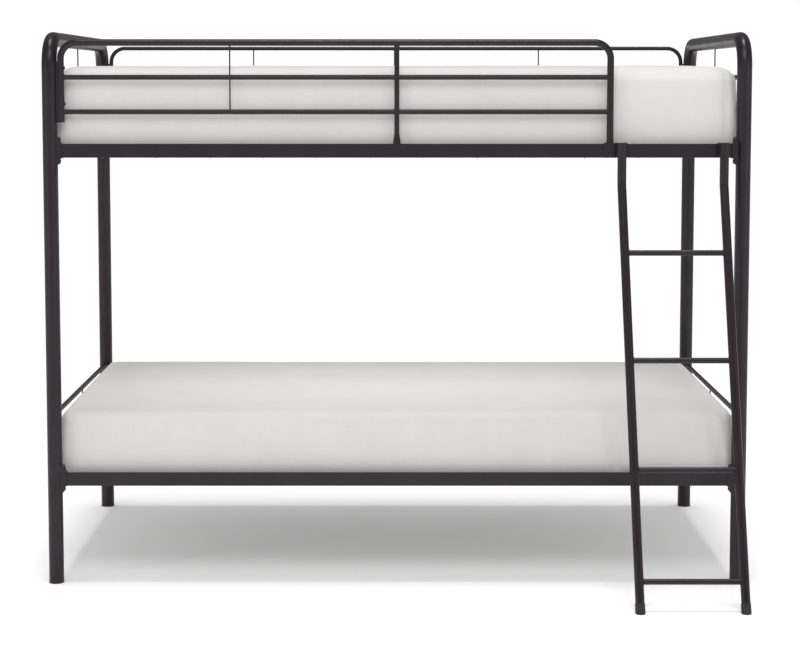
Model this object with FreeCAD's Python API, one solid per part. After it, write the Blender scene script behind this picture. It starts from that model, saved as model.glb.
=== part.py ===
"""Twin-over-twin metal bunk bed with a slanted ladder and two loose mattresses.

Frame of the model: millimetres, +X along the length with the ladder near the +X end, +Y towards the
back, +Z up from the floor. The origin is on the floor, at the centre of the bounding box.

Two end frames stand on four posts. Each is an upper hoop, bent from one tube, on a pair of lower
posts, with crossbars between them. Four angle-iron side rails end in saddle brackets that are bolted
to the posts, and steel slats lie in the rails. A guard stands on each long side of the upper bunk, and
the one in front leaves a gap for the ladder, whose hooks are bolted to the upper front rail.
"""

import FreeCAD, Part
import math
import os

Vector = FreeCAD.Vector
X_AXIS = Vector(1, 0, 0)
Y_AXIS = Vector(0, 1, 0)
Z_AXIS = Vector(0, 0, 1)

# ---------------------------------------------------------------- driving dimensions, mm
POST_SPAN_X = 1939.5        # post centre to post centre along the bed
POST_SPAN_Y = 1012.0        # and across it
BED_HEIGHT = 1562.0         # floor to the top of the end hoops
POST_D = 42.0
POST_WALL = 1.5
HOOP_BEND = 76.0            # centreline radius of the hoops' corners
SEAM_Z = 1221.0             # where the hoops stand on the lower posts
COUPLER_LENGTH = 140.0
COUPLER_D = 38.9
FOOT_BASE = 4.0             # thickness of a foot cap under the post
FOOT_PLUG = 21.0

CROSSBAR_D = 14.0
CROSSBAR_WALL = 1.2
UPPER_CROSSBAR_Z = (1230.0, 1338.5, 1434.5)
LOWER_CROSSBAR_Z = (300.0, 482.0)
SPINDLE_D = 4.0

RAIL_HEIGHT = 39.0
RAIL_FLANGE = 30.0          # width of the ledge that carries the slats
RAIL_WALL = 2.0
RAIL_EDGE = 1.5             # rounding of the folded edge
RAIL_FACE = 10.0            # outer face of a rail beyond the plane of the post centres
RAIL_BOTTOM_Z = {"upper": 1210.5, "lower": 280.5}

SADDLE_WALL = 2.5           # saddle brackets between the rails and the posts
SADDLE_WIDTH = 26.0
SADDLE_HALF_HEIGHT = 38.5
SADDLE_WEB = 33.35         # depth from the post's axis at the rail, and at the two ears
SADDLE_EAR = 27.0
SADDLE_EAR_LENGTH = 15.0
SADDLE_WEB_HALF = 20.0
SADDLE_CORNER = 3.0
SADDLE_BOLT = 29.5          # height of the bolts above and below the middle of the rail

SLAT_COUNT = 12
SLAT_PITCH = 150.0
SLAT_WIDTH = 25.0
SLAT_HEIGHT = 10.0
SLAT_WALL = 1.2
SLAT_END_GAP = 1.0
RIVET_D = 5.0
RIVET_HEAD_D = 10.0
RIVET_HEAD = 0.7
RIVET_LENGTH = 7.0
RIVET_INSET = 14.0          # from the end of the slat

GUARD_TOP_Z = 1531.0        # centreline of the guards' top tubes
GUARD_BOTTOM_Z = 1309.0     # where the legs beside the posts end
GUARD_BEND = 45.0
GUARD_BAR_Z = (1338.5, 1434.5)
GUARD_BOLT_Z = (1361.0, 1460.0)
GUARD_WALL = 1.2
FRONT_GUARD_D = 19.0
FRONT_GUARD_GAP = 1.5       # clear distance between the front guard's leg and the post
FRONT_GUARD_RIGHT_X = 596.0
FRONT_SPINDLE_X = (-466.0,)
BACK_GUARD_D = 12.7
BACK_GUARD_GAP = 2.5
BACK_SPINDLE_X = (-470.0, 470.0)
SPACER_WIDTH = 14.0
SPACER_TOP_Z = 1480.0

FLAT_TOP_Z = 1279.0         # the middle posts are flattened from here down to a tab behind the rail
FLAT_START_Z = 1254.0
FLAT_END_Z = 1217.0
FLAT_WIDTH = 21.0
FLAT_THICKNESS = 4.0
FLAT_SCREW_Z = 1232.0

PAD_WIDTH = 33.0            # bracket under the front guard's right leg
PAD_WALL = 3.0
PAD_SHIFT = -2.4            # of the bracket's middle from the leg's axis, away from the ladder
PAD_REACH = 10.0            # inwards from the plane of the post centres
PAD_CORNER = 4.0
PAD_BOLT_Z = 1219.5

LADDER_D = 25.0
LADDER_WALL = 1.5
LADDER_LEFT_X = 625.5       # at the hooks
LADDER_SPACING = 284.5
LADDER_STANDOFF = 40.0      # in front of the plane of the front posts, at the hooks
LADDER_REACH = 333.0        # and at the floor
LADDER_LEAN = 27.5          # sideways shift of the feet towards the near end
LADDER_BEND = 60.0
LADDER_BEND_Z = 1138.0
LADDER_SEAM_Z = 1159.0
LADDER_TOP_Z = 1251.0
LADDER_COUPLER_DOWN = 11.0
LADDER_COUPLER_UP = 45.0
RUNG_D = 16.0
RUNG_WALL = 1.2
RUNG_COUNT = 4
RUNG_FIRST_Z = 82.0
RUNG_PITCH = 289.5
LADDER_FOOT_D = 27.5
LADDER_FOOT_BASE = 3.0
LADDER_FOOT_LENGTH = 26.0
PLUG_HEAD = 2.0
PLUG_LENGTH = 12.0

HOOK_WALL = 2.5
HOOK_BOTTOM_Z = 1212.5
HOOK_FINGER_Z = 1229.0      # lower end of the part that hangs behind the rail
HOOK_FINGER = 5.5
HOOK_PLAY = 0.2
HOOK_BOLT_Z = 1222.0

M8_SHANK = 7.8
M8_HOLE = 8.2
M8_HEAD_D = 11.0
M8_HEAD = 2.8
M8_NUT = 13.0               # across flats
M8_NUT_HEIGHT = 6.5
M6_SHANK = 5.8
M6_HOLE = 6.2
M6_HEAD_D = 10.0
M6_HEAD = 3.5
M6_NUT = 10.0
M6_NUT_HEIGHT = 5.0

MATTRESS_LENGTH = 1895.0
MATTRESS_WIDTH = 965.0
MATTRESS_ROUNDING = 35.0
MATTRESS_GAP = 0.4          # clear of the slats
MATTRESS_THICKNESS = {"upper": 245.0, "lower": 195.5}

# ---------------------------------------------------------------- derived places
POST_R = POST_D / 2
POST_X = POST_SPAN_X / 2
LADDER_DROP = Vector(LADDER_LEAN, LADDER_STANDOFF - LADDER_REACH, -LADDER_BEND_Z)
LADDER_TILT = math.atan2(LADDER_REACH - LADDER_STANDOFF, LADDER_BEND_Z)
FRONT_EXTENT = LADDER_REACH + LADDER_FOOT_D / 2 / math.cos(LADDER_TILT)
FRONT_Y = (FRONT_EXTENT - POST_SPAN_Y - POST_R) / 2
BACK_Y = FRONT_Y + POST_SPAN_Y
MIDDLE_Y = (FRONT_Y + BACK_Y) / 2
HOOP_Z = BED_HEIGHT - POST_R
COUPLER_INSIDE_R = COUPLER_D / 2 - POST_WALL

ENDS = {"left": -1, "right": 1}
SIDES = {"front": -1, "back": 1}
SIDE_Y = {"front": FRONT_Y, "back": BACK_Y}
FAR = 60.0                  # overshoot of a cutting tool


# ---------------------------------------------------------------- solids
def box(x_range, y_range, z_range):
    x_low, x_high = sorted(x_range)
    y_low, y_high = sorted(y_range)
    z_low, z_high = sorted(z_range)
    size = (x_high - x_low, y_high - y_low, z_high - z_low)
    return Part.makeBox(*size, Vector(x_low, y_low, z_low))


def rod(diameter, start, end):
    along = end - start
    return Part.makeCylinder(diameter / 2, along.Length, start, along)


def tube(diameter, wall, start, end):
    return rod(diameter, start, end).cut(rod(diameter - 2 * wall, start, end))


def prism(points, thickness):
    """A flat polygon extruded along the vector thickness."""
    outline = Part.makePolygon(points + points[:1])
    return Part.Face(outline).extrude(thickness)


def bent_path(corners, radius):
    """A wire of straight runs with a tangent arc at each inner corner."""
    edges = []
    start = corners[0]
    for before, corner, after in zip(corners, corners[1:], corners[2:]):
        arriving = (corner - before).normalize()
        leaving = (after - corner).normalize()
        half_turn = arriving.getAngle(leaving) / 2
        setback = radius * math.tan(half_turn)
        inwards = (leaving - arriving).normalize()
        centre = corner + inwards * (radius / math.cos(half_turn))
        arc_start = corner - arriving * setback
        arc_end = corner + leaving * setback
        edges.append(Part.LineSegment(start, arc_start).toShape())
        edges.append(Part.Arc(arc_start, centre - inwards * radius, arc_end).toShape())
        start = arc_end
    edges.append(Part.LineSegment(start, corners[-1]).toShape())
    return Part.Wire(edges)


def bent_rod(diameter, corners, radius):
    section = Part.makeCircle(diameter / 2, corners[0], corners[1] - corners[0])
    return bent_path(corners, radius).makePipeShell([Part.Wire(section)], True, True)


def bent_tube(diameter, wall, corners, radius):
    inside = bent_rod(diameter - 2 * wall, corners, radius)
    return bent_rod(diameter, corners, radius).cut(inside)


def coped(piece, *mates):
    """The piece with its ends cut to sit on the round surfaces of its mates."""
    return piece.cut(list(mates)) if mates else piece


def screw(shank_d, head_d, head, seat, end):
    """A round-headed screw, its head on the seat and its shank running to the end point."""
    inwards = (end - seat).normalize()
    return rod(shank_d, seat, end).fuse(rod(head_d, seat - inwards * head, seat))


def nut(across_flats, hole_d, seat, end):
    """A hexagonal nut from seat to end, with two of its flats level."""
    along = end - seat
    sideways = along.cross(Z_AXIS).normalize()
    corner_r = across_flats / math.sqrt(3)
    corners = []
    for i in range(6):
        turn = math.radians(60 * i)
        corners.append(seat + sideways * (corner_r * math.cos(turn)) + Z_AXIS * (corner_r * math.sin(turn)))
    return prism(corners, along).cut(rod(hole_d, seat, end))


def save(name, solids):
    """Writes one node, a single solid or a group of separate solids."""
    solids = [piece for shape in solids for piece in shape.Solids]
    for piece in solids:
        if not piece.isValid():
            raise ValueError(f"{name} has a faulty solid")
    shape = solids[0] if len(solids) == 1 else Part.makeCompound(solids)
    shape.exportStep(f"parts/{name}.step")


# ---------------------------------------------------------------- end frames
def post_axis(end, side, z_low, z_high):
    x, y = ENDS[end] * POST_X, SIDE_Y[side]
    return Vector(x, y, z_low), Vector(x, y, z_high)


def from_post(end, side, depth, z):
    """The point at a depth from a post's axis towards the middle of the bed."""
    return Vector(ENDS[end] * (POST_X - depth), SIDE_Y[side], z)


def post_hole(end, side, z, hole_d):
    """Cutter for a bolt hole in the inner wall of a post."""
    return rod(hole_d, from_post(end, side, 0, z), from_post(end, side, FAR, z))


def rail_bolt_heights(level):
    middle = RAIL_BOTTOM_Z[level] + RAIL_HEIGHT / 2
    return (middle - SADDLE_BOLT, middle + SADDLE_BOLT)


def guard_bolt_posts():
    """The posts that a guard is bolted to."""
    return (("left", "front"), ("left", "back"), ("right", "back"))


def hoop_corners(end):
    return [
        from_post(end, "front", 0, SEAM_Z),
        from_post(end, "front", 0, HOOP_Z),
        from_post(end, "back", 0, HOOP_Z),
        from_post(end, "back", 0, SEAM_Z),
    ]


def upper_hoop(end):
    holes = [post_hole(end, side, rail_bolt_heights("upper")[1], M8_HOLE) for side in SIDES]
    for bolt_end, side in guard_bolt_posts():
        if bolt_end == end:
            holes += [post_hole(end, side, z, M6_HOLE) for z in GUARD_BOLT_Z]
    return bent_tube(POST_D, POST_WALL, hoop_corners(end), HOOP_BEND).cut(holes)


def lower_post(end, side):
    heights = rail_bolt_heights("lower") + rail_bolt_heights("upper")[:1]
    holes = [post_hole(end, side, z, M8_HOLE) for z in heights]
    return tube(POST_D, POST_WALL, *post_axis(end, side, FOOT_BASE, SEAM_Z)).cut(holes)


def post_coupler(end, side):
    """The sleeve inside a post that carries the hoop across the seam."""
    half = COUPLER_LENGTH / 2
    holes = [post_hole(end, side, z, M8_HOLE) for z in rail_bolt_heights("upper")]
    return tube(COUPLER_D, POST_WALL, *post_axis(end, side, SEAM_Z - half, SEAM_Z + half)).cut(holes)


def foot_cap(end, side):
    base = rod(POST_D, *post_axis(end, side, 0, FOOT_BASE))
    return base.fuse(rod(COUPLER_D, *post_axis(end, side, FOOT_BASE, FOOT_BASE + FOOT_PLUG)))


def crossbar(end, z):
    posts = [rod(POST_D, *post_axis(end, side, z - FAR, z + FAR)) for side in SIDES]
    bar = tube(CROSSBAR_D, CROSSBAR_WALL, from_post(end, "front", 0, z), from_post(end, "back", 0, z))
    return largest(coped(bar, *posts))


def largest(shape):
    """The main solid of a cut, without the slugs that fall inside its mates."""
    return max(shape.Solids, key=lambda piece: piece.Volume)


def end_spindles(end, heights):
    """Upright wires at the middle of an end frame, from each tube to the next one up."""
    pieces = []
    for (low, low_d), (high, high_d) in zip(heights, heights[1:]):
        bottom = Vector(ENDS[end] * POST_X, MIDDLE_Y, low)
        top = Vector(ENDS[end] * POST_X, MIDDLE_Y, high)
        mates = [rod(d, at - Y_AXIS * FAR, at + Y_AXIS * FAR) for at, d in ((bottom, low_d), (top, high_d))]
        pieces.append(largest(coped(rod(SPINDLE_D, bottom, top), *mates)))
    return pieces


def build_end_frames():
    for end in ENDS:
        save(f"{end}_upper_hoop", [upper_hoop(end)])
        save(f"{end}_upper_end_bars", [crossbar(end, z) for z in UPPER_CROSSBAR_Z])
        save(f"{end}_lower_end_bars", [crossbar(end, z) for z in LOWER_CROSSBAR_Z])
        for side in SIDES:
            save(f"{side}_{end}_post", [lower_post(end, side)])
    upper_heights = [(z, CROSSBAR_D) for z in UPPER_CROSSBAR_Z[1:]] + [(HOOP_Z, POST_D)]
    lower_heights = [(z, CROSSBAR_D) for z in LOWER_CROSSBAR_Z]
    corners = [(end, side) for end in ENDS for side in SIDES]
    save("upper_end_spindles", [s for end in ENDS for s in end_spindles(end, upper_heights)])
    save("lower_end_spindles", [s for end in ENDS for s in end_spindles(end, lower_heights)])
    save("post_couplers", [post_coupler(*corner) for corner in corners])
    save("post_foot_caps", [foot_cap(*corner) for corner in corners])


# ---------------------------------------------------------------- side rails and slats
def outwards(side, distance):
    """The Y of a plane at a distance outside the centres of the posts on one side."""
    return SIDE_Y[side] + SIDES[side] * distance


def side_rail_blank(level, side):
    """Angle iron between the saddles, with its ledge turned inwards."""
    half = POST_X - SADDLE_WEB
    bottom = RAIL_BOTTOM_Z[level]
    outer, inner = outwards(side, RAIL_FACE), outwards(side, RAIL_FACE - RAIL_WALL)
    ledge = outwards(side, RAIL_FACE - RAIL_FLANGE)
    top = bottom + RAIL_HEIGHT
    outline = [
        Vector(-half, outer, bottom),
        Vector(-half, ledge, bottom),
        Vector(-half, ledge, bottom + RAIL_WALL),
        Vector(-half, inner, bottom + RAIL_WALL),
        Vector(-half, inner, top),
        Vector(-half, outer, top),
    ]
    rail = prism(outline, X_AXIS * (2 * half))
    folded = [e for e in rail.Edges if e.Length > half and near_line(e, outer, bottom)]
    return rail.makeFillet(RAIL_EDGE, folded)


def near_line(edge, y, z):
    middle = edge.CenterOfMass
    return abs(middle.y - y) < 0.1 and abs(middle.z - z) < 0.1


def rail_hole(side, x, z, hole_d):
    """Cutter through the upright leg of a rail."""
    return rod(hole_d, Vector(x, outwards(side, FAR), z), Vector(x, outwards(side, 0), z))


def slat_places():
    first = -SLAT_PITCH * (SLAT_COUNT - 1) / 2
    return [first + SLAT_PITCH * i for i in range(SLAT_COUNT)]


def slat_end(side, inset):
    return outwards(side, RAIL_FACE - RAIL_WALL - SLAT_END_GAP - inset)


def rivet_places(level):
    bottom = RAIL_BOTTOM_Z[level]
    return [Vector(x, slat_end(side, RIVET_INSET), bottom) for x in slat_places() for side in SIDES]


def rivet_hole(place):
    return rod(RIVET_D, place - Z_AXIS * FAR / 2, place + Z_AXIS * (RAIL_WALL + SLAT_WALL + SLAT_WALL))


def side_rail(level, side):
    near = [p for p in rivet_places(level) if (p.y - MIDDLE_Y) * SIDES[side] > 0]
    holes = [rivet_hole(p) for p in near]
    if level == "upper":
        holes.append(rail_hole(side, 0, FLAT_SCREW_Z, M6_HOLE))
        if side == "front":
            holes.append(rail_hole(side, FRONT_GUARD_RIGHT_X, PAD_BOLT_Z, M6_HOLE))
            holes += [rail_hole(side, x, HOOK_BOLT_Z, M6_HOLE) for x in ladder_tops()]
    return side_rail_blank(level, side).cut(holes)


def saddle(level, end, side):
    """Channel bracket that hugs a post, deeper behind the rail than at its two bolted ears."""
    middle = RAIL_BOTTOM_Z[level] + RAIL_HEIGHT / 2
    tall, ear_low = SADDLE_HALF_HEIGHT, SADDLE_HALF_HEIGHT - SADDLE_EAR_LENGTH
    upper_half = [
        (SADDLE_WEB, SADDLE_WEB_HALF),
        (SADDLE_EAR, ear_low),
        (SADDLE_EAR, tall - SADDLE_CORNER),
        (SADDLE_EAR - SADDLE_CORNER, tall),
        (0, tall),
    ]
    outline = upper_half + [(depth, -rise) for depth, rise in reversed(upper_half)]
    half_width = Y_AXIS * (SADDLE_WIDTH / 2)
    inner_half = half_width - Y_AXIS * SADDLE_WALL
    outer_points = [from_post(end, side, depth, middle + rise) for depth, rise in outline]
    inner_points = [from_post(end, side, depth - SADDLE_WALL, middle + rise) for depth, rise in outline]
    blank = prism([p - half_width for p in outer_points], half_width * 2)
    hollow = prism([p - inner_half for p in inner_points], inner_half * 2)
    post = rod(POST_D, *post_axis(end, side, middle - FAR, middle + FAR))
    core = box((ENDS[end] * POST_X, ENDS[end] * (POST_X - POST_R * 0.5)), (-FAR, FAR), (-FAR, FAR))
    core.translate(Vector(0, SIDE_Y[side], middle))
    holes = [post_hole(end, side, z, M8_HOLE) for z in rail_bolt_heights(level)]
    return largest(blank.cut([hollow, post, core] + holes))


def rail_bolts(level, end, side):
    seat_r = COUPLER_INSIDE_R if level == "upper" else POST_R - POST_WALL
    bolts, nuts = [], []
    for z in rail_bolt_heights(level):
        seat = from_post(end, side, SADDLE_EAR, z)
        nut_end = from_post(end, side, seat_r - M8_NUT_HEIGHT, z)
        bolts.append(screw(M8_SHANK, M8_HEAD_D, M8_HEAD, seat, nut_end))
        nuts.append(post_nut(M8_NUT, M8_SHANK, end, side, z, seat_r, M8_NUT_HEIGHT))
    return bolts, nuts


def post_nut(across_flats, hole_d, end, side, z, seat_r, height):
    """A nut welded inside a round tube, its face shaped to the wall."""
    blank = nut(across_flats, hole_d, from_post(end, side, seat_r, z), from_post(end, side, seat_r - height, z))
    return blank.common(rod(2 * seat_r, *post_axis(end, side, z - FAR, z + FAR)))


def slat(level, x):
    low = RAIL_BOTTOM_Z[level] + RAIL_WALL
    y_range = (slat_end("front", 0), slat_end("back", 0))
    inner_x = (x - SLAT_WIDTH / 2 + SLAT_WALL, x + SLAT_WIDTH / 2 - SLAT_WALL)
    outer = box((x - SLAT_WIDTH / 2, x + SLAT_WIDTH / 2), y_range, (low, low + SLAT_HEIGHT))
    inner = box(inner_x, y_range, (low + SLAT_WALL, low + SLAT_HEIGHT - SLAT_WALL))
    holes = [rivet_hole(p) for p in rivet_places(level) if abs(p.x - x) < 1]
    return outer.cut([inner] + holes)


def rivet(place):
    """A blind rivet, its low head under the rail's ledge and its tail inside the slat."""
    return screw(RIVET_D, RIVET_HEAD_D, RIVET_HEAD, place, place + Z_AXIS * RIVET_LENGTH)


def build_side_rails():
    bolts, nuts = [], []
    for level in RAIL_BOTTOM_Z:
        for side in SIDES:
            save(f"{level}_{side}_rail", [side_rail(level, side)])
            save(f"{level}_{side}_rail_saddles", [saddle(level, end, side) for end in ENDS])
            for end in ENDS:
                more_bolts, more_nuts = rail_bolts(level, end, side)
                bolts += more_bolts
                nuts += more_nuts
        save(f"{level}_slats", [slat(level, x) for x in slat_places()])
    save("rail_bolts", bolts)
    save("rail_nuts", nuts)
    save("slat_rivets", [rivet(p) for level in RAIL_BOTTOM_Z for p in rivet_places(level)])


# ---------------------------------------------------------------- guards of the upper bunk
GUARD_D = {"front": FRONT_GUARD_D, "back": BACK_GUARD_D}
GUARD_GAP = {"front": FRONT_GUARD_GAP, "back": BACK_GUARD_GAP}
SPINDLE_X = {"front": FRONT_SPINDLE_X, "back": BACK_SPINDLE_X}


def guard_leg_x(side):
    """The X of a guard's left and right legs."""
    beside_post = POST_X - POST_R - GUARD_GAP[side] - GUARD_D[side] / 2
    return -beside_post, FRONT_GUARD_RIGHT_X if side == "front" else beside_post


def in_side(side, x, z):
    return Vector(x, SIDE_Y[side], z)


def guard_corners(side):
    left, right = guard_leg_x(side)
    pad_top = RAIL_BOTTOM_Z["upper"] + RAIL_HEIGHT + PAD_WALL
    right_bottom = pad_top if side == "front" else GUARD_BOTTOM_Z
    return [
        in_side(side, left, GUARD_BOTTOM_Z),
        in_side(side, left, GUARD_TOP_Z),
        in_side(side, right, GUARD_TOP_Z),
        in_side(side, right, right_bottom),
    ]


def guard_bolt_holes(side):
    return [post_hole(end, s, z, M6_HOLE) for end, s in guard_bolt_posts() if s == side for z in GUARD_BOLT_Z]


def guard_hoop(side):
    hoop = bent_tube(GUARD_D[side], GUARD_WALL, guard_corners(side), GUARD_BEND)
    return hoop.cut(guard_bolt_holes(side))


def guard_solid_hoop(side):
    return bent_rod(GUARD_D[side], guard_corners(side), GUARD_BEND)


def middle_post_blank(side):
    return rod(CROSSBAR_D, in_side(side, 0, FLAT_START_Z), in_side(side, 0, GUARD_TOP_Z))


def guard_bars(side):
    """Level bars, each in two lengths that meet the middle post."""
    left, right = guard_leg_x(side)
    bars = []
    for z in GUARD_BAR_Z:
        for start, end in ((left, 0), (0, right)):
            bar = tube(CROSSBAR_D, GUARD_WALL, in_side(side, start, z), in_side(side, end, z))
            bars.append(largest(coped(bar, guard_solid_hoop(side), middle_post_blank(side))))
    return bars


def flat_section(side, z, width, thickness, offset):
    """An elliptical section of a flattened tube."""
    centre = Vector(0, outwards(side, offset), z)
    long_end = centre + X_AXIS * (width / 2)
    short_end = centre + Y_AXIS * (thickness / 2)
    return Part.Wire(Part.Ellipse(long_end, short_end, centre).toShape())


def middle_post(side):
    """Upright of a guard, flattened at the foot to a tab on the inner face of the rail."""
    round_part = tube(CROSSBAR_D, GUARD_WALL, in_side(side, 0, FLAT_TOP_Z), in_side(side, 0, GUARD_TOP_Z))
    tab_offset = RAIL_FACE - RAIL_WALL - FLAT_THICKNESS / 2
    flat_top = flat_section(side, FLAT_START_Z, FLAT_WIDTH, FLAT_THICKNESS, tab_offset)
    round_end = Part.Wire(Part.makeCircle(CROSSBAR_D / 2, in_side(side, 0, FLAT_TOP_Z), Z_AXIS))
    neck = Part.makeLoft([flat_top, round_end], True)
    tab = Part.Face(flat_top).extrude(Z_AXIS * (FLAT_END_Z - FLAT_START_Z))
    whole = round_part.fuse([neck, tab])
    hole = rail_hole(side, 0, FLAT_SCREW_Z, M6_HOLE)
    return largest(coped(whole, guard_solid_hoop(side), hole))


def guard_spindles(side):
    """Upright wires from the top tube to the upper bar, and on to the lower bar."""
    heights = [(z, CROSSBAR_D) for z in GUARD_BAR_Z] + [(GUARD_TOP_Z, GUARD_D[side])]
    wires = []
    for x in SPINDLE_X[side]:
        for (low, low_d), (high, high_d) in zip(heights, heights[1:]):
            bottom, top = in_side(side, x, low), in_side(side, x, high)
            mates = [rod(d, at - X_AXIS * FAR, at + X_AXIS * FAR) for at, d in ((bottom, low_d), (top, high_d))]
            wires.append(largest(coped(rod(SPINDLE_D, bottom, top), *mates)))
    return wires


def guard_spacer(end, side):
    """Upright strip between a guard's leg and an end hoop, hollowed to fit both."""
    leg_depth = POST_R + GUARD_GAP[side] + GUARD_D[side] / 4
    x_range = (ENDS[end] * (POST_X - POST_R / 2), ENDS[end] * (POST_X - leg_depth))
    y_range = (SIDE_Y[side] - SPACER_WIDTH / 2, SIDE_Y[side] + SPACER_WIDTH / 2)
    strip = box(x_range, y_range, (GUARD_BOTTOM_Z, SPACER_TOP_Z))
    hoop = bent_rod(POST_D, hoop_corners(end), HOOP_BEND)
    return strip.cut([hoop, guard_solid_hoop(side)] + guard_bolt_holes(side))


def guard_pad():
    """Angled plate on the upper front rail, under the front guard's right leg."""
    low, top = RAIL_BOTTOM_Z["upper"], RAIL_BOTTOM_Z["upper"] + RAIL_HEIGHT
    half = PAD_WIDTH / 2
    front, back = outwards("front", RAIL_FACE + PAD_WALL), outwards("front", -PAD_REACH)
    outline = [
        Vector(-half, front, low),
        Vector(half, front, low),
        Vector(half, front, top + PAD_WALL - PAD_CORNER),
        Vector(half - PAD_CORNER, front, top + PAD_WALL),
        Vector(PAD_CORNER - half, front, top + PAD_WALL),
        Vector(-half, front, top + PAD_WALL - PAD_CORNER),
    ]
    blank = prism(outline, Y_AXIS * (back - front))
    middle = FRONT_GUARD_RIGHT_X + PAD_SHIFT
    blank.translate(X_AXIS * middle)
    x_range = (middle - half - 1, middle + half + 1)
    below = box(x_range, (outwards("front", RAIL_FACE), back + 1), (low - 1, top))
    return blank.cut([below, rail_hole("front", FRONT_GUARD_RIGHT_X, PAD_BOLT_Z, M6_HOLE)])


def guard_fasteners():
    bolts, nuts = [], []
    for end, side in guard_bolt_posts():
        seat_depth = POST_R + GUARD_GAP[side] + GUARD_D[side]
        nut_seat = POST_R - POST_WALL
        for z in GUARD_BOLT_Z:
            nut_end = from_post(end, side, nut_seat - M6_NUT_HEIGHT, z)
            bolts.append(screw(M6_SHANK, M6_HEAD_D, M6_HEAD, from_post(end, side, seat_depth, z), nut_end))
            nuts.append(post_nut(M6_NUT, M6_SHANK, end, side, z, nut_seat, M6_NUT_HEIGHT))
    return bolts, nuts


def tab_screw(side):
    """Screw through a middle post's tab into the rail, with its head on the inside."""
    seat = Vector(0, outwards(side, RAIL_FACE - RAIL_WALL - FLAT_THICKNESS), FLAT_SCREW_Z)
    return screw(M6_SHANK, M6_HEAD_D, M6_HEAD, seat, Vector(0, outwards(side, RAIL_FACE), FLAT_SCREW_Z))


def rail_bolt_and_nut(x, z, seat_outwards):
    """Bolt from the front through the upright leg of the upper front rail, and the nut behind it."""
    nut_seat = Vector(x, outwards("front", RAIL_FACE - RAIL_WALL), z)
    nut_end = nut_seat + Y_AXIS * M6_NUT_HEIGHT
    bolt = screw(M6_SHANK, M6_HEAD_D, M6_HEAD, Vector(x, outwards("front", seat_outwards), z), nut_end)
    return bolt, nut(M6_NUT, M6_SHANK, nut_seat, nut_end)


def build_guards():
    for side in SIDES:
        save(f"{side}_guard_hoop", [guard_hoop(side)])
        save(f"{side}_guard_bars", guard_bars(side))
        save(f"{side}_guard_middle_post", [middle_post(side)])
        save(f"{side}_guard_spindles", guard_spindles(side))
        save(f"{side}_guard_spacers", [guard_spacer(end, s) for end, s in guard_bolt_posts() if s == side])
    bolts, nuts = guard_fasteners()
    pad_bolt, pad_nut = rail_bolt_and_nut(FRONT_GUARD_RIGHT_X, PAD_BOLT_Z, RAIL_FACE + PAD_WALL)
    save("front_guard_pad", [guard_pad()])
    save("guard_post_bolts", bolts)
    save("guard_post_nuts", nuts)
    save("guard_rail_screws", [tab_screw(side) for side in SIDES] + [pad_bolt, pad_nut])


# ---------------------------------------------------------------- ladder
def ladder_tops():
    return (LADDER_LEFT_X, LADDER_LEFT_X + LADDER_SPACING)


def ladder_point(top_x, z):
    """A point on the axis of a ladder rail, straight above its bend and slanted below it."""
    fall = max(LADDER_BEND_Z - z, 0) / LADDER_BEND_Z
    corner = Vector(top_x, FRONT_Y - LADDER_STANDOFF, min(z, LADDER_BEND_Z))
    return Vector(corner.x + LADDER_DROP.x * fall, corner.y + LADDER_DROP.y * fall, z)


def ladder_slant(top_x, diameter, z_low, z_high):
    return rod(diameter, ladder_point(top_x, z_low), ladder_point(top_x, z_high))


def above(z):
    """A large block whose underside is at a height."""
    return box((-POST_X, POST_X), (FRONT_Y - 2 * LADDER_REACH, BACK_Y), (z, z + BED_HEIGHT))


def ladder_rail(top_x):
    corners = [
        ladder_point(top_x, LADDER_SEAM_Z),
        ladder_point(top_x, LADDER_BEND_Z),
        ladder_point(top_x, -LADDER_D),
    ]
    return bent_tube(LADDER_D, LADDER_WALL, corners, LADDER_BEND).common(above(LADDER_FOOT_BASE))


def ladder_top_tube(top_x):
    straight = tube(LADDER_D, LADDER_WALL, ladder_point(top_x, LADDER_SEAM_Z), ladder_point(top_x, LADDER_TOP_Z))
    return straight.cut(rail_hole("front", top_x, HOOK_BOLT_Z, M6_HOLE))


def ladder_coupler(top_x):
    low, high = LADDER_SEAM_Z - LADDER_COUPLER_DOWN, LADDER_SEAM_Z + LADDER_COUPLER_UP
    inside_d = LADDER_D - 2 * LADDER_WALL
    return tube(inside_d, LADDER_WALL, ladder_point(top_x, low), ladder_point(top_x, high))


def ladder_top_plug(top_x):
    top = ladder_point(top_x, LADDER_TOP_Z)
    stem = rod(LADDER_D - 2 * LADDER_WALL, top - Z_AXIS * PLUG_LENGTH, top)
    return stem.fuse(rod(LADDER_D, top, top + Z_AXIS * PLUG_HEAD))


def ladder_foot(top_x):
    """Cap on the slanted end of a ladder rail, cut level with the floor."""
    outside = ladder_slant(top_x, LADDER_FOOT_D, -LADDER_FOOT_D, LADDER_FOOT_LENGTH).common(above(0))
    socket = ladder_slant(top_x, LADDER_D, -LADDER_FOOT_D, 2 * LADDER_FOOT_LENGTH)
    return outside.cut(socket.common(above(LADDER_FOOT_BASE)))


def rung(index):
    z = RUNG_FIRST_Z + RUNG_PITCH * index
    left, right = (ladder_point(x, z) for x in ladder_tops())
    rails = [ladder_slant(x, LADDER_D, z - FAR, z + FAR) for x in ladder_tops()]
    return largest(coped(tube(RUNG_D, RUNG_WALL, left, right), *rails))


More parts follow.
